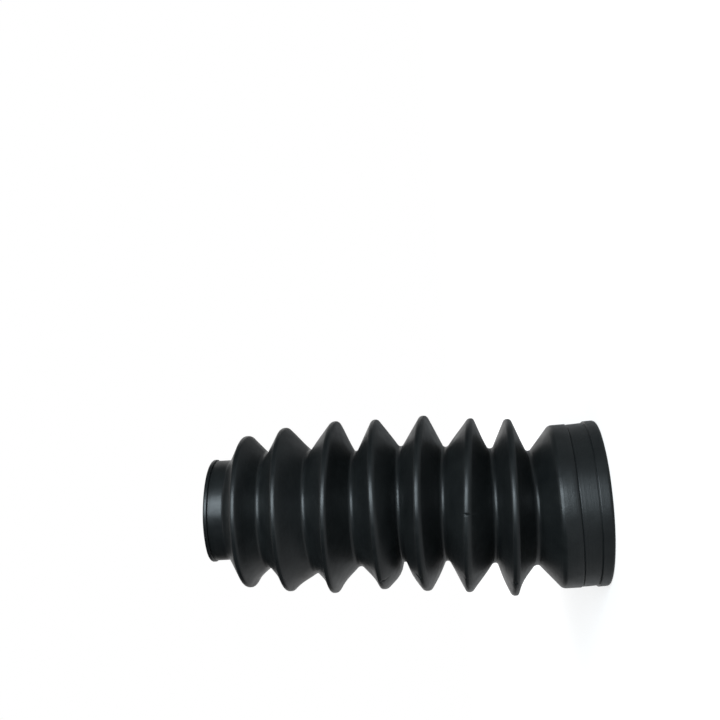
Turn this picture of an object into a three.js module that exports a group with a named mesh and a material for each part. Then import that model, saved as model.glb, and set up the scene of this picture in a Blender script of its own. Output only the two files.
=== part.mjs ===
// Fork gaiter: the one-piece rubber bellows that keeps dirt off the leg of a telescopic fork.
// The big cuff slips over the lower leg, the small collar grips the upper tube, and the folds
// between them open and close as the fork works.
// Millimetres, +Z up along the leg. It stands on the rim of the big cuff, and the origin is under
// the middle of the whole.
import * as THREE from "three";

// The big cuff, from its rim up: a raised lip, the band that a clamp would sit in, a raised land
// and the shoulder that turns in towards the folds.
const CUFF_BORE = 65; // diameter
const CUFF_WALL = 2.1; // at the band
const LIP_HEIGHT = 4.8;
const LIP_PROUD = 0.6; // beyond the band
const BAND_HEIGHT = 6.8;
const LAND_HEIGHT = 6.5;
const LAND_PROUD = 0.3; // beyond the band
const RIM_ROUND = 1.2; // outer edge of the rim
const SHOULDER_ROUND = 3;
const SHOULDER_INNER_ROUND = 0.5;

// The small collar, which ends in a bead.
const COLLAR_BORE = 38; // diameter, 1 mm under the tube that it grips
const COLLAR_WALL = 2.9;
const COLLAR_HEIGHT = 7.6; // fillet to top face
const COLLAR_FILLET = 2; // between the last fold and the collar
const BEAD_HEIGHT = 1.9;
const BEAD_PROUD = 0.5;
const BEAD_ROUND = 0.7;

const BORE_EDGE = 0.3; // round on the edge of either bore
const STEP = 0.3; // height over which a raised band falls to its neighbour

// The bellows, as if every fold were alike.
const FOLD_PITCH = 19;
const SHOULDER_RISE = 10.5; // height from the land to the first root
const CREST_RADIUS = 37.2;
const ROOT_RADIUS = 24.5;
const CREST_ROUND = 2;
const ROOT_ROUND = 1.7;
const FOLD_WALL = 1.7;
const CREST_WALL = 2.4; // the rubber gathers at a crest
const CREST_INNER_ROUND = 0.5;

// Each fold as it has settled, from the big cuff up: the root below it, then its crest.
// up and out say how far the ring stands from its even place, along the axis and away from it.
// drift is where the ring's centre lies along X. tipX and tipY are the slope of the ring's plane,
// its rise for each millimetre towards +X and towards -Y.
const FOLDS = [
  {
    root: { up: 0.5, out: 0, drift: -3, tipX: 0, tipY: -0.01 },
    crest: { up: 0, out: 0.5, drift: -2, tipX: -0.03, tipY: 0.02 },
  },
  {
    root: { up: -1.5, out: 0, drift: -1, tipX: -0.03, tipY: 0 },
    crest: { up: -1.5, out: 0, drift: 0, tipX: -0.07, tipY: 0.07 },
  },
  {
    root: { up: -1, out: 0, drift: 1, tipX: -0.04, tipY: 0.09 },
    crest: { up: -1.5, out: 0.5, drift: 2, tipX: -0.03, tipY: 0.09 },
  },
  {
    root: { up: -1, out: 0.5, drift: 2, tipX: -0.02, tipY: 0.06 },
    crest: { up: -0.5, out: -0.5, drift: 2.5, tipX: 0, tipY: 0.04 },
  },
  {
    root: { up: -0.5, out: 0.5, drift: 1, tipX: -0.01, tipY: 0.06 },
    crest: { up: 0, out: 0, drift: 2.5, tipX: -0.05, tipY: 0.06 },
  },
  {
    root: { up: 0, out: 2.5, drift: 1, tipX: 0.01, tipY: 0.07 },
    crest: { up: 2, out: -1.5, drift: 2.5, tipX: -0.01, tipY: 0.05 },
  },
  {
    root: { up: 1, out: 1, drift: 2.5, tipX: -0.02, tipY: 0.06 },
    crest: { up: 0.5, out: -4, drift: 2.5, tipX: -0.02, tipY: 0.05 },
  },
];

// The same for the rim, which is level, the seam above the band, the land's edge and the collar.
const RIM_SETTLED = { drift: -2.5, tipX: 0, tipY: 0 };
const SEAM_SETTLED = { drift: -3, tipX: 0.02, tipY: 0.03 };
const LAND_SETTLED = { drift: -3, tipX: 0.01, tipY: 0.03 };
const COLLAR_SETTLED = { drift: 3.5, tipX: -0.05, tipY: 0.01 };

// The whole bows towards +Y, from the rim to the collar.
const BOW = 5;
const RIM_BACK = 1; // the rim's centre lies this far towards -Y

// How finely the round shapes are cut into flats.
const FLATS_AROUND = 40;
const ARC_ERROR = 0.12; // most that a flat may stand off its arc

const RUBBER = new THREE.MeshStandardMaterial({
  color: 0x141718,
  roughness: 0.45,
  metalness: 0,
});

// Heights and radii that follow from the sizes above.
const cuffBoreRadius = CUFF_BORE / 2;
const bandRadius = cuffBoreRadius + CUFF_WALL;
const lipRadius = bandRadius + LIP_PROUD;
const landRadius = bandRadius + LAND_PROUD;
const collarBoreRadius = COLLAR_BORE / 2;
const collarRadius = collarBoreRadius + COLLAR_WALL;
const beadRadius = collarRadius + BEAD_PROUD;
const bandTop = LIP_HEIGHT + BAND_HEIGHT;
const landTop = bandTop + LAND_HEIGHT;
const firstRoot = landTop + SHOULDER_RISE;
const collarFoot = firstRoot + FOLDS.length * FOLD_PITCH;
const top = collarFoot + COLLAR_HEIGHT;

// The rings of the bellows in order of height, each with its height z and its radius.
const rings = FOLDS.flatMap(({ root, crest }, fold) => {
  const z = firstRoot + fold * FOLD_PITCH;
  return [
    { ...root, isRoot: true, z: z + root.up, radius: ROOT_RADIUS + root.out },
    {
      ...crest,
      isRoot: false,
      z: z + FOLD_PITCH / 2 + crest.up,
      radius: CREST_RADIUS + crest.out,
    },
  ];
});

// A peg is a circle that the outline bends round: over it where the round is positive, and under
// it, as in a hollow corner, where the round is negative. A round of 0 is a sharp corner.
// A corner is given by the radius that the outline reaches there. facing is 1 on the outer skin,
// whose corners are seen from outside, and -1 on the inner skin.
function peg(z, radius, round, facing = 1) {
  return { z, radius: radius - facing * round, round };
}

function outerPegs() {
  return [
    peg(RIM_ROUND, lipRadius, RIM_ROUND),
    peg(LIP_HEIGHT, lipRadius, 0),
    peg(LIP_HEIGHT + STEP, bandRadius, 0),
    peg(bandTop, bandRadius, 0),
    peg(bandTop + STEP, landRadius, 0),
    peg(landTop, landRadius, SHOULDER_ROUND),
    ...rings.map(({ z, radius, isRoot }) => peg(z, radius, isRoot ? -ROOT_ROUND : CREST_ROUND)),
    peg(collarFoot, collarRadius, -COLLAR_FILLET),
    peg(top - BEAD_HEIGHT - STEP, collarRadius, 0),
    peg(top - BEAD_HEIGHT, beadRadius, 0),
    peg(top - BEAD_ROUND, beadRadius, BEAD_ROUND),
  ];
}

function innerPegs() {
  const folds = rings.map(({ z, radius, isRoot }) =>
    isRoot
      ? peg(z, radius - FOLD_WALL, ROOT_ROUND + FOLD_WALL, -1)
      : peg(z, radius - CREST_WALL, -CREST_INNER_ROUND, -1),
  );
  return [
    peg(top - BORE_EDGE, collarBoreRadius, BORE_EDGE, -1),
    peg(collarFoot, collarBoreRadius, COLLAR_FILLET + COLLAR_WALL, -1),
    ...folds.reverse(),
    peg(landTop, cuffBoreRadius, -SHOULDER_INNER_ROUND, -1),
    peg(BORE_EDGE, cuffBoreRadius, BORE_EDGE, -1),
  ];
}

// The direction of the straight stretch that leaves one peg and meets the next.
function stretchAngle(from, to) {
  const alongZ = to.z - from.z;
  const alongRadius = to.radius - from.radius;
  const swing = Math.asin((from.round - to.round) / Math.hypot(alongZ, alongRadius));
  return Math.atan2(alongRadius, alongZ) - swing;
}

// The points where the outline touches one peg, between two straight stretches.
function roundPeg({ z, radius, round }, angleIn, angleOut) {
  const turn = Math.atan2(Math.sin(angleOut - angleIn), Math.cos(angleOut - angleIn));
  const size = Math.abs(round);
  const widest = size > ARC_ERROR ? 2 * Math.acos(1 - ARC_ERROR / size) : Math.PI;
  const flats = size > 0 ? Math.max(1, Math.ceil(Math.abs(turn) / widest)) : 0;
  return Array.from({ length: flats + 1 }, (_, i) => {
    const angle = angleIn + (flats ? (turn * i) / flats : 0);
    return new THREE.Vector2(radius + round * Math.cos(angle), z - round * Math.sin(angle));
  });
}

// The closed section of the wall: up the outer skin, over the top face, down the inner skin.
function section() {
  const pegs = [...outerPegs(), ...innerPegs()];
  const angles = pegs.map((from, i) => stretchAngle(from, pegs[(i + 1) % pegs.length]));
  const points = pegs.flatMap((each, i) => roundPeg(each, angles.at(i - 1), angles[i]));
  return [...points, points[0].clone()];
}

// Where the wall has settled, at certain heights. The end faces stay flat, and the rim level.
const stations = [
  { z: 0, ...RIM_SETTLED },
  { z: bandTop, ...SEAM_SETTLED },
  { z: landTop, ...LAND_SETTLED },
  ...rings,
  { z: collarFoot, ...COLLAR_SETTLED },
];

// The same at any height: an easy S-curve leads from each station to the next.
function settledAt(z) {
  const last = stations.length - 1;
  const above = stations.findIndex((station) => station.z > z);
  const low = stations[above < 0 ? last : Math.max(above - 1, 0)];
  const high = stations[above < 0 ? last : above];
  const share = THREE.MathUtils.smoothstep(z, low.z, high.z);
  return {
    drift: THREE.MathUtils.lerp(low.drift, high.drift, share),
    tipX: THREE.MathUtils.lerp(low.tipX, high.tipX, share),
    tipY: THREE.MathUtils.lerp(low.tipY, high.tipY, share),
  };
}

// Leans and shifts every ring of an even gaiter to where the real one has settled.
function settle(geometry) {
  const position = geometry.getAttribute("position");
  const point = new THREE.Vector3();
  for (let i = 0; i < position.count; i++) {
    point.fromBufferAttribute(position, i);
    const { drift, tipX, tipY } = settledAt(point.z);
    const back = BOW * (point.z / top) ** 2 - RIM_BACK;
    point.z += tipX * point.x - tipY * point.y;
    position.setXYZ(i, point.x + drift, point.y + back, point.z);
  }
}

function gaiter() {
  const geometry = new THREE.LatheGeometry(section(), FLATS_AROUND);
  geometry.rotateX(Math.PI / 2);
  settle(geometry);
  geometry.computeVertexNormals();
  const mesh = new THREE.Mesh(geometry, RUBBER);
  mesh.name = "fork_gaiter";
  return mesh;
}

const part = new THREE.Group();
part.add(gaiter());

export default part;
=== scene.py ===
"""The looks of a fork gaiter: one moulded bellows of black rubber that stands on its big cuff.

Metres, +Z up along the gaiter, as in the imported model, which is the frame. The wall follows the
model's section with finer curves, and adds the fine grooves, a slight bulge of some flanks, the
mould's marks and the finish.
"""

import math
from collections import namedtuple

import bpy
import numpy as np
from mathutils import Matrix, Vector, noise


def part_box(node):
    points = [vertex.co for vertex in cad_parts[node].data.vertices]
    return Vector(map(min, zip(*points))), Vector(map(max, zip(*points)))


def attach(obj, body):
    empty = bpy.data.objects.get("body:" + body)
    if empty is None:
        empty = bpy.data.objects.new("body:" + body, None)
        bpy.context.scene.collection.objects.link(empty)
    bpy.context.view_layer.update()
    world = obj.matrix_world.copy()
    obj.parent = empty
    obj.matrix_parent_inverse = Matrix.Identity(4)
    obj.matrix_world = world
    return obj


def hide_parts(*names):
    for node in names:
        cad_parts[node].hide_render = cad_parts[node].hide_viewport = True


NODE = "fork_gaiter"
BODY = "root"
MM = 0.001

# The big cuff, from its rim up: lip, band, land and shoulder.
CUFF_BORE_RADIUS = 32.5 * MM
CUFF_WALL = 2.1 * MM
LIP_HEIGHT = 4.8 * MM
LIP_PROUD = 0.6 * MM
BAND_HEIGHT = 6.8 * MM
LAND_HEIGHT = 6.5 * MM
LAND_PROUD = 0.3 * MM
RIM_ROUND = 1.2 * MM
SHOULDER_ROUND = 3 * MM
SHOULDER_INNER_ROUND = 0.5 * MM

# The small collar, which ends in a bead.
COLLAR_BORE_RADIUS = 19 * MM
COLLAR_WALL = 2.9 * MM
COLLAR_HEIGHT = 7.6 * MM
COLLAR_FILLET = 2 * MM
BEAD_HEIGHT = 1.9 * MM
BEAD_PROUD = 0.5 * MM
BEAD_ROUND = 0.7 * MM

BORE_EDGE = 0.3 * MM

# The fine grooves beside lip, land and bead.
GROOVE_WIDTH = 0.5 * MM
GROOVE_DEPTH = 0.3 * MM
LIP_GROOVE_DEPTH = 0.12 * MM
GROOVE_ROUND = 0.12 * MM  # in the bottom and on both edges
LAND_EDGE_ROUND = 0.45 * MM  # on the land's own edge of its groove

# The bellows, as if every fold were alike.
FOLD_PITCH = 19 * MM
SHOULDER_RISE = 10.5 * MM
CREST_RADIUS = 37.2 * MM
ROOT_RADIUS = 24.5 * MM
CREST_ROUND = 2 * MM
ROOT_ROUND = 1.7 * MM
FOLD_WALL = 1.7 * MM
CREST_WALL = 2.4 * MM
CREST_INNER_ROUND = 0.5 * MM
CREST_FLAT = 0.5 * MM  # width of the plain band round each crest
CREST_EDGE_SHARE = 0.8  # round of that band's edges, as a share of the crest's own

# Each fold as it has settled, from the big cuff up: the root below it, then its crest. up and out
# (mm) move the ring along the axis and away from it, and drift (mm) moves its centre along X.
# tip_x and tip_y are its rise for each unit towards +X and towards -Y, and pinch (mm) pushes
# the flank below the ring up at its -X side.
Settled = namedtuple("Settled", "up out drift tip_x tip_y pinch")
FOLDS = [
    (Settled(0.5, 0, -3, 0, -0.01, 0), Settled(0, 0.5, -2, -0.03, 0.02, 1.5)),
    (Settled(-1.5, 0, -1, -0.03, 0, 0.5), Settled(-1.5, 0, 0, -0.07, 0.07, 0)),
    (Settled(-1, 0, 1, -0.04, 0.09, 0), Settled(-1.5, 0.5, 2, -0.03, 0.09, -0.5)),
    (Settled(-1, 0.5, 2, -0.02, 0.06, 1), Settled(-0.5, -0.5, 2.5, 0, 0.04, -2)),
    (Settled(-0.5, 0.5, 1, -0.01, 0.06, -1), Settled(0, 0, 2.5, -0.05, 0.06, 1)),
    (Settled(0, 2.5, 1, 0.01, 0.07, -1), Settled(2, -1.5, 2.5, -0.01, 0.05, 1)),
    (Settled(1, 1, 2.5, -0.02, 0.06, -1), Settled(0.5, -4, 2.5, -0.02, 0.05, 1)),
]

# The same for the rim, the seam above the band, the land's edge and the collar.
Lean = namedtuple("Lean", "drift tip_x tip_y")
RIM_SETTLED = Lean(-2.5, 0, 0)
SEAM_SETTLED = Lean(-3, 0.02, 0.03)
LAND_SETTLED = Lean(-3, 0.01, 0.03)
COLLAR_SETTLED = Lean(3.5, -0.05, 0.01)

# The whole bows towards +Y, from the rim to the collar.
BOW = 5 * MM
RIM_BACK = 1 * MM  # the rim's centre lies this far towards -Y

# How finely the round shapes are cut.
FLATS_AROUND = 160
ARC_ERROR = 0.015 * MM
STRETCH_STEP = 2.4 * MM
EDGE_MARGIN = 0.2 * MM  # the cuff's plain walls are flat to within this of their edges
MARK_COLUMNS = 4  # extra columns of faces on each side of a mark
MARK_SPACING = 0.22 * MM
ANGLE_DIGITS = 5  # decimals of a radian; columns that agree to these count once

# Marks that the mould and handling have left, in mm. turn is the angle round the axis from the
# -Y side towards -X, in degrees.
MINUS_Y_SIDE = -90  # in degrees from +X towards +Y
PARTING_TURN = 46.5
PARTING_TURNS = (PARTING_TURN, PARTING_TURN + 180)  # the mould's halves meet on both sides
PARTING_HEIGHT = 0.06
PARTING_WIDTH = 0.25
Mark = namedtuple("Mark", "z radius turn along across depth")
PIT = (0.5, 0.45, 0.8)  # along, across, depth
PIT_PLACES = ((0.5, 47), (1.5, 46), (1.5, 47), (-1, 53))  # above the crest, turn
NICK = (1.7, 0.3, 0.5)
NICK_TURN = -2
DASH = (1.1, 0.3, 0.25)
DASH_HEIGHTS = (9, 3.5)
SCUFF = (0.5, 0.35, 0.2)
SCUFF_PLACES = ((109, 30.5, -43), (69, 29, -47))  # z, radius, turn
WOBBLE = 0.22 * MM  # of the whole wall, which is soft
WOBBLE_LENGTH = 16 * MM

# The camera stands as the photograph's did. The gaiter's +Z points to the image's left there,
# so the camera is rolled, and its up is about +X.
AXIS_ROLL = 0.0716  # radians
AXIS_PITCH = 0.070
RIM_FROM_CAMERA = Vector((103.3, -61.1, -438.4)) * MM  # right, up and towards the camera
IMAGE_PIXELS = 720
FOCAL_PIXELS = 1020
SENSOR = 36  # mm

# The finish of the rubber.
RUBBER_DARK = (0.0034, 0.004, 0.0042, 1)
RUBBER_BLOOM = (0.0066, 0.0074, 0.0074, 1)  # where the rubber has bloomed a little grey
RUBBER_ROUGHNESS = (0.33, 0.43)
RUBBER_SPECULAR = 0.25
BLOOM_CLOUD = (70, 4)  # scale and detail of a noise
SMEAR_CLOUD = (220, 3)
GRAIN_CLOUD = (2600, 2)
GRAIN_DEPTH = 0.02 * MM
NOISE_MIDDLE = (0.3, 0.7)  # most values of a noise lie between these
ALONG = "along_the_section"
LINE_SCALE = 1100  # of the fine lines round the wall, which the mould has left
LINE_DEPTH = 0.03 * MM
SHARP_ANGLE = math.radians(50)

# The white floor, the white world behind, and the lamps, which are placed from the gaiter's middle.
WHITE = (1, 1, 1, 1)
FULL = 1  # the strength at which white shows as white
FLOOR_COLOR = (0.3, 0.3, 0.3, 1)
FLOOR_LIFT = 0.73  # what the floor shows of its own white near the gaiter, beyond the light on it
FLOOR_FADE = (0.1, 0.35)  # between these distances it rises to full white, and the shadow ends
FLOOR_REACH = 4
MIRRORED_SIDES = (-0.1, 0.1)  # between these X, glossy surfaces see less and less of the floor
MIRRORED_SHARES = (0.5, 0.1)
AMBIENT = 0.3
ROOM = 0.03  # what glossy surfaces see of the room in front of the backdrop
BACKDROP_EDGE = (0.5, 1)  # the room gives way to the backdrop between these directions' Y
Softbox = namedtuple("Softbox", "name place width height watts color")
FRONT_SOFTBOX = Softbox("front_softbox", (0.34, -0.95, 0.36), 0.5, 0.92, 25, (0.79, 0.92, 1))
TOP_SOFTBOX = Softbox("top_softbox", (0.1, 0.1, 1.3), 1.2, 1.2, 4, (1, 1, 1))

Peg = namedtuple("Peg", "z radius round")
Ring = namedtuple("Ring", "is_root z radius drift tip_x tip_y pinch")
OUTER, INNER = 1, -1  # the way that a corner of either skin faces

band_radius = CUFF_BORE_RADIUS + CUFF_WALL
lip_radius = band_radius + LIP_PROUD
land_radius = band_radius + LAND_PROUD
collar_radius = COLLAR_BORE_RADIUS + COLLAR_WALL
bead_radius = collar_radius + BEAD_PROUD
band_top = LIP_HEIGHT + BAND_HEIGHT
land_top = band_top + LAND_HEIGHT
first_root = land_top + SHOULDER_RISE
collar_foot = first_root + len(FOLDS) * FOLD_PITCH
top = collar_foot + COLLAR_HEIGHT


def ring_at(is_root, z, radius, settled):
    """One ring of the bellows, moved from its even height and radius to where it has settled."""
    up, out, drift, tip_x, tip_y, pinch = settled
    return Ring(is_root, z + up * MM, radius + out * MM, drift * MM, tip_x, tip_y, pinch * MM)


def fold_rings():
    """The roots and crests in order of height."""
    rings = []
    for fold, (root, crest) in enumerate(FOLDS):
        z = first_root + fold * FOLD_PITCH
        rings.append(ring_at(True, z, ROOT_RADIUS, root))
        rings.append(ring_at(False, z + FOLD_PITCH / 2, CREST_RADIUS, crest))
    return rings


RINGS = fold_rings()


def peg(z, radius, bend, facing=OUTER):
    """A circle that the outline bends round: over it where bend is positive, under it where it
    is negative. radius is what the corner reaches."""
    return Peg(z, radius - facing * bend, bend)


def groove(z, below, above, depth=GROOVE_DEPTH, edge_round=GROOVE_ROUND):
    """A fine groove round the outer skin, between a wall of one radius and a wall of another.
    edge_round is on the edge above it."""
    floor = min(below, above) - depth
    return [
        peg(z - GROOVE_WIDTH / 2, below, GROOVE_ROUND),
        peg(z, floor, -GROOVE_ROUND),
        peg(z + GROOVE_WIDTH / 2 + edge_round, above, edge_round),
    ]


def outer_ring_pegs(ring):
    if ring.is_root:
        return [peg(ring.z, ring.radius, -ROOT_ROUND)]
    edge = CREST_ROUND * CREST_EDGE_SHARE
    return [peg(ring.z + side * CREST_FLAT / 2, ring.radius, edge) for side in (-1, 1)]


def outer_pegs():
    return [
        peg(RIM_ROUND, lip_radius, RIM_ROUND),
        *groove(LIP_HEIGHT, lip_radius, band_radius, depth=LIP_GROOVE_DEPTH),
        *groove(band_top, band_radius, land_radius, edge_round=LAND_EDGE_ROUND),
        peg(land_top, land_radius, SHOULDER_ROUND),
        *[spot for ring in RINGS for spot in outer_ring_pegs(ring)],
        peg(collar_foot, collar_radius, -COLLAR_FILLET),
        *groove(top - BEAD_HEIGHT, collar_radius, bead_radius),
        peg(top - BEAD_ROUND, bead_radius, BEAD_ROUND),
    ]


def inner_ring_peg(ring):
    if ring.is_root:
        return peg(ring.z, ring.radius - FOLD_WALL, ROOT_ROUND + FOLD_WALL, INNER)
    return peg(ring.z, ring.radius - CREST_WALL, -CREST_INNER_ROUND, INNER)


def inner_pegs():
    return [
        peg(top - BORE_EDGE, COLLAR_BORE_RADIUS, BORE_EDGE, INNER),
        peg(collar_foot, COLLAR_BORE_RADIUS, COLLAR_FILLET + COLLAR_WALL, INNER),
        *[inner_ring_peg(ring) for ring in reversed(RINGS)],
        peg(land_top, CUFF_BORE_RADIUS, -SHOULDER_INNER_ROUND, INNER),
        peg(BORE_EDGE, CUFF_BORE_RADIUS, BORE_EDGE, INNER),
    ]


def stretch_angle(start, end):
    """The direction of the straight stretch that leaves one peg and meets the next."""
    along_z = end.z - start.z
    along_radius = end.radius - start.radius
    swing = math.asin((start.round - end.round) / math.hypot(along_z, along_radius))
    return math.atan2(along_radius, along_z) - swing


def round_peg(spot, angle_in, angle_out):
    """The points (z, radius) where the outline touches one peg."""
    turn = math.remainder(angle_out - angle_in, math.tau)
    widest = 2 * math.acos(1 - ARC_ERROR / abs(spot.round))
    flats = max(1, math.ceil(abs(turn) / widest))
    angles = [angle_in + turn * i / flats for i in range(flats + 1)]
    return [
        (spot.z - spot.round * math.sin(a), spot.radius + spot.round * math.cos(a))
        for a in angles
    ]


def refined(points):
    """The same points, with more of them along the straight stretches, where the wall can bend.
    A long stretch of the cuff also gets one near each end, which keeps its shading flat."""
    fine = []
    for start, end in zip(points, points[1:]):
        length = math.dist(start, end)
        steps = math.ceil(length / STRETCH_STEP)
        shares = [i / steps for i in range(steps)]
        if steps > 1 and max(start[0], end[0]) < land_top:
            margin = EDGE_MARGIN / length
            shares = [0, margin, *shares[1:], 1 - margin]
        fine += [tuple(a + (b - a) * s for a, b in zip(start, end)) for s in shares]
    return [*fine, points[-1]]


def section():
    """The closed outline of the wall: its points (z, radius), and how many of them, from the
    first, are on the outer skin."""
    outer = outer_pegs()
    pegs = outer + inner_pegs()
    angles = [stretch_angle(a, b) for a, b in zip(pegs, pegs[1:] + pegs[:1])]
    arcs = [round_peg(p, angles[i - 1], angles[i]) for i, p in enumerate(pegs)]
    outside = refined([point for arc in arcs[: len(outer)] for point in arc])
    inside = refined([point for arc in arcs[len(outer) :] for point in arc])
    return np.array(outside + inside), len(outside)


def marks():
    """The pits of vent pips near the four lowest crests, a nick across the second crest, two
    dashes on the cuff's parting line and two scuffs on the flanks."""
    crests = [ring for ring in RINGS if not ring.is_root]
    pits = [
        Mark(ring.z / MM + rise, ring.radius / MM, turn, *PIT)
        for ring, (rise, turn) in zip(crests, PIT_PLACES)
    ]
    nick = Mark(crests[1].z / MM, crests[1].radius / MM, NICK_TURN, *NICK)
    dashes = [Mark(z, band_radius / MM, PARTING_TURN, *DASH) for z in DASH_HEIGHTS]
    scuffs = [Mark(*place, *SCUFF) for place in SCUFF_PLACES]
    return [*pits, nick, *dashes, *scuffs]


def angle_of(turn):
    """The angle round the axis from +X towards +Y, in radians."""
    return math.radians(MINUS_Y_SIDE - turn) % math.tau


def columns():
    """The angles at which the section stands, closer together at the marks."""
    spots = [*PARTING_TURNS, *[mark.turn for mark in marks()]]
    spacing = MARK_SPACING / CREST_RADIUS
    reach = range(-MARK_COLUMNS, MARK_COLUMNS + 1)
    close = [angle_of(spot) + i * spacing for spot in spots for i in reach]
    close = np.unique(np.round(close, ANGLE_DIGITS))
    close = close[np.append(True, np.diff(close) > spacing / 2)]  # no two at almost one place
    even = np.arange(FLATS_AROUND) * math.tau / FLATS_AROUND
    gaps = np.abs(even[:, None] - close[None, :]).min(axis=1)
    return np.sort(np.append(even[gaps > spacing], close))


def bell(distance, reach):
    """1 where the distance is 0, and next to nothing from twice the reach on."""
    return np.exp(-((distance / reach) ** 2))


def relief(points, along, angles):
    """How far the outer skin stands out at each point and column, for parting lines and marks.
    along is the length of the outline up to each point."""
    radius = points[:, 1][:, None]

    def across(turn):
        offset = (angles - angle_of(turn) + math.pi) % math.tau - math.pi
        return offset[None, :] * radius

    height = np.zeros((len(points), len(angles)))
    for turn in PARTING_TURNS:
        height += PARTING_HEIGHT * MM * bell(across(turn), PARTING_WIDTH * MM)
    for mark in marks():
        spot = np.array((mark.z, mark.radius)) * MM
        nearest = np.linalg.norm(points - spot, axis=1).argmin()
        away = (along - along[nearest])[:, None]
        dent = bell(away, mark.along * MM) * bell(across(mark.turn), mark.across * MM)
        height -= mark.depth * MM * dent
    return height


def wobble(z, angles):
    """A slow unevenness of the whole wall, the same for both skins."""
    scale = 1 / WOBBLE_LENGTH
    across = [(CREST_RADIUS * math.cos(a), CREST_RADIUS * math.sin(a)) for a in angles]
    rows = [[noise.noise(Vector((x, y, height)) * scale) for x, y in across] for height in z]
    return WOBBLE * np.array(rows)


def eased(share):
    """The share on an S-curve, which is level at 0 and at 1."""
    return share * share * (3 - 2 * share)


def hump(share):
    """1 halfway, and nothing at both ends."""
    return 4 * share * (1 - share)


def settled_at(z):
    """drift, tip_x, tip_y and push of the wall at heights z, by easy curves between stations.
    push is the pinch of the flank there, whole at its middle and nothing at its ends."""
    ends = {
        0: RIM_SETTLED,
        band_top: SEAM_SETTLED,
        land_top: LAND_SETTLED,
        collar_foot: COLLAR_SETTLED,
    }
    stations = [(ring.z, ring.drift, ring.tip_x, ring.tip_y, ring.pinch) for ring in RINGS]
    stations += [(height, end.drift * MM, end.tip_x, end.tip_y, 0) for height, end in ends.items()]
    stations = np.array(sorted(stations))
    above = np.clip(np.searchsorted(stations[:, 0], z, "right"), 1, len(stations) - 1)
    low, high = stations[above - 1], stations[above]
    share = eased(np.clip((z - low[:, 0]) / (high[:, 0] - low[:, 0]), 0, 1))
    drift, tip_x, tip_y = (low[:, 1:4] + (high - low)[:, 1:4] * share[:, None]).T
    return drift, tip_x, tip_y, high[:, 4] * hump(share)


def settle(z, radius, angles):
    """Leans and shifts every ring of an even gaiter to where the real one has settled."""
    drift, tip_x, tip_y, push = (part.reshape(z.shape) for part in settled_at(z.ravel()))
    x = radius * np.cos(angles)
    y = radius * np.sin(angles)
    back = BOW * (z / top) ** 2 - RIM_BACK
    minus_x_share = (1 - np.cos(angles)) / 2
    lifted = z + tip_x * x - tip_y * y + push * minus_x_share
    return np.stack((x + drift, y + back, lifted), axis=-1)


def skin_points():
    """The wall's points, one row for each point of the section and one column for each angle,
    and how far along the section each row is."""
    points, outer_count = section()
    angles = columns()
    ahead = np.roll(points, -1, axis=0)
    behind = np.roll(points, 1, axis=0)
    run = ahead - behind
    run /= np.linalg.norm(run, axis=1)[:, None]
    along = np.cumsum(np.linalg.norm(points - behind, axis=1))
    out = np.zeros((len(points), len(angles)))
    out[:outer_count] = relief(points[:outer_count], along[:outer_count], angles)
    z = np.maximum(points[:, 0][:, None] - out * run[:, 1][:, None], 0)  # the rim stays level
    radius = points[:, 1][:, None] + out * run[:, 0][:, None] + wobble(points[:, 0], angles)
    return settle(z, radius, angles), along


def grid_mesh(name, grid, along):
    """A closed mesh whose rows and columns both come round to where they began."""
    rows, cols = grid.shape[:2]
    here = np.arange(rows * cols).reshape(rows, cols)
    up = np.roll(here, -1, axis=0)
    right = np.roll(here, -1, axis=1)
    corner = np.roll(up, -1, axis=1)
    faces = np.stack((here, right, corner, up), axis=-1).reshape(-1, 4)
    mesh = bpy.data.meshes.new(name)
    mesh.from_pydata(grid.reshape(-1, 3).tolist(), [], faces.tolist())
    mesh.attributes.new(ALONG, "FLOAT", "POINT").data.foreach_set("value", np.repeat(along, cols))
    mesh.shade_smooth()
    mesh.set_sharp_from_angle(angle=SHARP_ANGLE)
    return mesh


def add_node(tree, kind, inputs=None, **settings):
    """A new shader node, with its settings and with inputs that are values or other sockets."""
    made = tree.nodes.new(kind)
    for name, value in settings.items():
        setattr(made, name, value)
    for name, value in (inputs or {}).items():
        if isinstance(value, bpy.types.NodeSocket):
            tree.links.new(value, made.inputs[name])
        else:
            made.inputs[name].default_value = value
    return made


def blank_material(name):
    material = bpy.data.materials.new(name)
    material.use_nodes = True
    material.node_tree.nodes.clear()
    return material, material.node_tree


def math_node(tree, operation, first, second):
    return add_node(tree, "ShaderNodeMath", {0: first, 1: second}, operation=operation).outputs[0]


def mixed(tree, share, first, second, **settings):
    inputs = {"Factor": share, "A": first, "B": second}
    return add_node(tree, "ShaderNodeMix", inputs, **settings).outputs["Result"]


def carried(tree, value, ends, results, **settings):
    """value, carried from the range between two ends to the range between two results."""
    inputs = {
        "Value": value,
        "From Min": ends[0],
        "From Max": ends[1],
        "To Min": results[0],
        "To Max": results[1],
    }
    return add_node(tree, "ShaderNodeMapRange", inputs, **settings).outputs["Result"]


def ease(tree, value, ends, results):
    """An easy change from one result to the other, while value goes between the two ends."""
    return carried(tree, value, ends, results, interpolation_type="SMOOTHSTEP")


def cloud(tree, place, scale, detail):
    inputs = {"Vector": place, "Scale": scale, "Detail": detail}
    return add_node(tree, "ShaderNodeTexNoise", inputs).outputs["Fac"]


def bump(tree, inputs):
    return add_node(tree, "ShaderNodeBump", inputs).outputs["Normal"]


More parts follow.
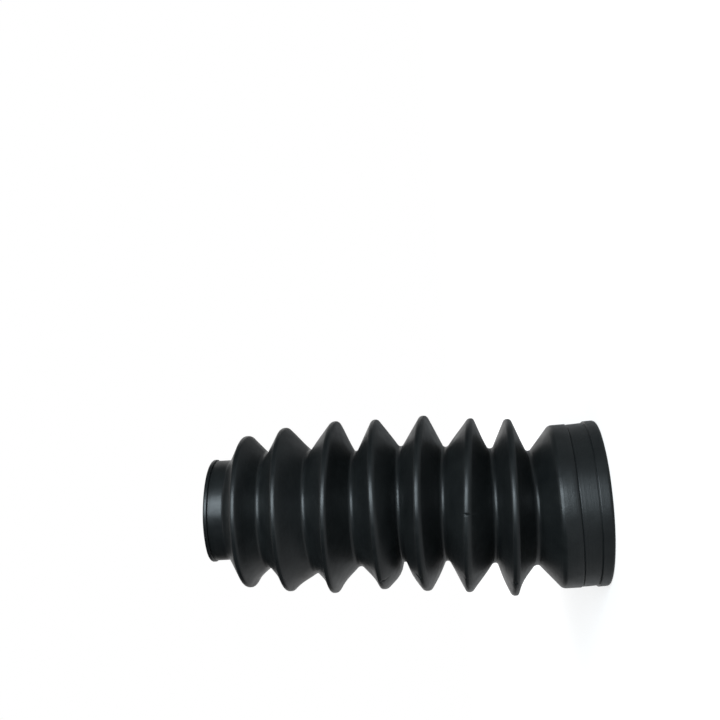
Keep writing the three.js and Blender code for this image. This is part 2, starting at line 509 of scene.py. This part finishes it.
def rubber_normal(tree, place):
    """A fine grain, over the faint lines that the mould has left round the wall."""
    along = add_node(tree, "ShaderNodeAttribute", attribute_name=ALONG).outputs["Fac"]
    inputs = {"W": along, "Scale": LINE_SCALE}
    lines = add_node(tree, "ShaderNodeTexNoise", inputs, noise_dimensions="1D").outputs["Fac"]
    lined = bump(tree, {"Height": lines, "Distance": LINE_DEPTH})
    grain = cloud(tree, place, *GRAIN_CLOUD)
    return bump(tree, {"Height": grain, "Distance": GRAIN_DEPTH, "Normal": lined})


def rubber_material():
    material, tree = blank_material("black_rubber")
    place = add_node(tree, "ShaderNodeTexCoord").outputs["Object"]
    bloom = carried(tree, cloud(tree, place, *BLOOM_CLOUD), NOISE_MIDDLE, (0, 1))
    smear = cloud(tree, place, *SMEAR_CLOUD)
    inputs = {
        "Base Color": mixed(tree, bloom, RUBBER_DARK, RUBBER_BLOOM, data_type="RGBA"),
        "Roughness": carried(tree, smear, NOISE_MIDDLE, RUBBER_ROUGHNESS),
        "Specular IOR Level": RUBBER_SPECULAR,
        "Normal": rubber_normal(tree, place),
    }
    shader = add_node(tree, "ShaderNodeBsdfPrincipled", inputs)
    add_node(tree, "ShaderNodeOutputMaterial", {"Surface": shader.outputs["BSDF"]})
    return material


def seen_straight(tree, rays):
    """1 for rays straight from the camera, also through something clear, and 0 for others."""
    return math_node(tree, "MAXIMUM", rays["Is Camera Ray"], rays["Is Transmission Ray"])


def floor_glow(tree):
    """The floor's own white: whole to the camera, in part to glossy surfaces, and none to the
    rays that light things."""
    place = add_node(tree, "ShaderNodeTexCoord").outputs["Object"]
    away = add_node(tree, "ShaderNodeVectorMath", {"Vector": place}, operation="LENGTH")
    white = ease(tree, away.outputs["Value"], FLOOR_FADE, (FLOOR_LIFT, FULL))
    side = add_node(tree, "ShaderNodeSeparateXYZ", {"Vector": place}).outputs["X"]
    rays = add_node(tree, "ShaderNodeLightPath").outputs
    mirrored_share = ease(tree, side, MIRRORED_SIDES, MIRRORED_SHARES)
    mirrored = math_node(tree, "MULTIPLY", rays["Is Glossy Ray"], mirrored_share)
    seen = math_node(tree, "MAXIMUM", seen_straight(tree, rays), mirrored)
    lift = math_node(tree, "MULTIPLY", seen, white)
    return add_node(tree, "ShaderNodeEmission", {"Strength": lift}).outputs["Emission"]


def floor_material():
    """White where it is seen, and a plain pale floor to the rays that light things."""
    material, tree = blank_material("white_floor")
    matt = add_node(tree, "ShaderNodeBsdfDiffuse", {"Color": FLOOR_COLOR}).outputs["BSDF"]
    both = add_node(tree, "ShaderNodeAddShader", {0: floor_glow(tree), 1: matt}).outputs["Shader"]
    add_node(tree, "ShaderNodeOutputMaterial", {"Surface": both})
    return material


def new_object(name, data):
    made = bpy.data.objects.new(name, data)
    bpy.context.scene.collection.objects.link(made)
    return made


def make_gaiter():
    gaiter = new_object("gaiter_rubber", grid_mesh("gaiter_rubber", *skin_points()))
    gaiter.data.materials.append(rubber_material())
    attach(gaiter, BODY)
    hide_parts(NODE)


def make_floor(height):
    r = FLOOR_REACH
    corners = [(-r, -r, height), (r, -r, height), (r, r, height), (-r, r, height)]
    mesh = bpy.data.meshes.new("floor")
    mesh.from_pydata(corners, [], [range(len(corners))])
    floor = new_object("floor", mesh)
    mesh.materials.append(floor_material())


def make_world():
    """White wherever it is seen, as the backdrop is, with a dim room in front of it."""
    world = bpy.data.worlds.new("studio")
    world.use_nodes = True
    bpy.context.scene.world = world
    tree = world.node_tree
    tree.nodes.clear()
    rays = add_node(tree, "ShaderNodeLightPath").outputs
    direction = add_node(tree, "ShaderNodeTexCoord").outputs["Generated"]
    facing = add_node(tree, "ShaderNodeSeparateXYZ", {"Vector": direction}).outputs["Y"]
    backdrop = ease(tree, facing, BACKDROP_EDGE, (ROOM, FULL))
    lit = mixed(tree, rays["Is Glossy Ray"], AMBIENT, backdrop)
    strength = mixed(tree, seen_straight(tree, rays), lit, FULL)
    back = add_node(tree, "ShaderNodeBackground", {"Color": WHITE, "Strength": strength})
    add_node(tree, "ShaderNodeOutputWorld", {"Surface": back.outputs["Background"]})


def make_softbox(softbox, middle):
    """A rectangular lamp that faces the gaiter's middle, its width level."""
    lamp = bpy.data.lights.new(softbox.name, "AREA")
    lamp.shape = "RECTANGLE"
    lamp.size = softbox.width
    lamp.size_y = softbox.height
    lamp.energy = softbox.watts
    lamp.color = softbox.color
    box = new_object(softbox.name, lamp)
    box.location = middle + Vector(softbox.place)
    box.rotation_euler = (-Vector(softbox.place)).to_track_quat("-Z", "Y").to_euler()


def seen_axes():
    """The gaiter's axes as the camera sees them, one in each row: right, up, towards the camera."""
    along = Vector(
        (
            -math.cos(AXIS_ROLL) * math.cos(AXIS_PITCH),
            -math.sin(AXIS_ROLL) * math.cos(AXIS_PITCH),
            -math.sin(AXIS_PITCH),
        )
    )
    up = Vector((0, 1, 0))
    across = (up - along * up.dot(along)).normalized()
    return Matrix((across, along.cross(across), along))


def make_camera():
    """Stands where the photograph was taken from."""
    lens = bpy.data.cameras.new("camera")
    lens.sensor_width = SENSOR
    lens.lens = FOCAL_PIXELS / IMAGE_PIXELS * SENSOR
    camera = new_object("camera", lens)
    turn = seen_axes()
    rim_centre = Vector((RIM_SETTLED.drift * MM, -RIM_BACK, 0))
    place = rim_centre - turn @ RIM_FROM_CAMERA
    camera.matrix_world = Matrix.Translation(place) @ turn.to_4x4()
    bpy.context.scene.camera = camera


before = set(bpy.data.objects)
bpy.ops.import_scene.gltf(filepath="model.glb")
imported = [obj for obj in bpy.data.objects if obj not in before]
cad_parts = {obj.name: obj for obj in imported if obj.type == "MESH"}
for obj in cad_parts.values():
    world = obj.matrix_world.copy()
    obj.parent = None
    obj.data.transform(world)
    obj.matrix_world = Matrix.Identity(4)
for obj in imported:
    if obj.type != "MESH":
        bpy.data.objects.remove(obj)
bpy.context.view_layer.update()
low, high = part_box(NODE)
bpy.context.scene.view_settings.view_transform = "Standard"
make_camera()
make_gaiter()
make_floor(low.z)
make_world()
for softbox in (FRONT_SOFTBOX, TOP_SOFTBOX):
    make_softbox(softbox, (low + high) / 2)
